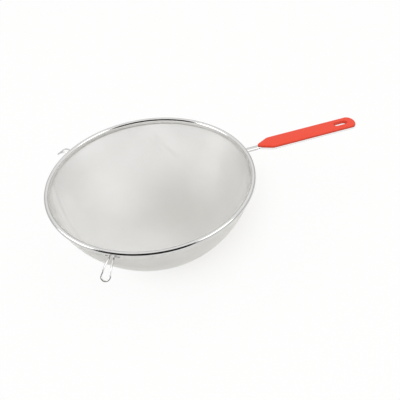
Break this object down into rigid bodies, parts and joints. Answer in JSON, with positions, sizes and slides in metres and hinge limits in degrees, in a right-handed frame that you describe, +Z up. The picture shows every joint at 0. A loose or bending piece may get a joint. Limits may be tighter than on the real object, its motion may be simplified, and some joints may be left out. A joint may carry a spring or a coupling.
{
  "type": "colander",
  "caption": "Fine wire-mesh strainer bowl with a rolled steel rim, bent wire rests that hook over a pot, and a long flat handle with a coloured cover and a hang slot.",
  "frame": {"origin": "centre of the bowl's flat foot, on the surface that it stands on", "axes": "+X from the bowl's axis along the handle, +Z up along the bowl's axis"},
  "size_m": [0.3883, 0.24, 0.0918],
  "materials": {
    "wire_cloth": "plain-woven fine steel wire",
    "steel_wire": "bright drawn wire",
    "polished_steel": "polished sheet",
    "red_plastic": "satin moulded plastic"
  },
  "bodies": {
    "root": {"mesh_bowl": "wire_cloth", "hoop_wire": "steel_wire", "rim_band": "polished_steel", "rest_front": "steel_wire", "rest_back": "steel_wire", "handle_tang": "polished_steel", "handle_tray": "polished_steel", "handle_cover": "red_plastic"}
  },
  "joints": []
}
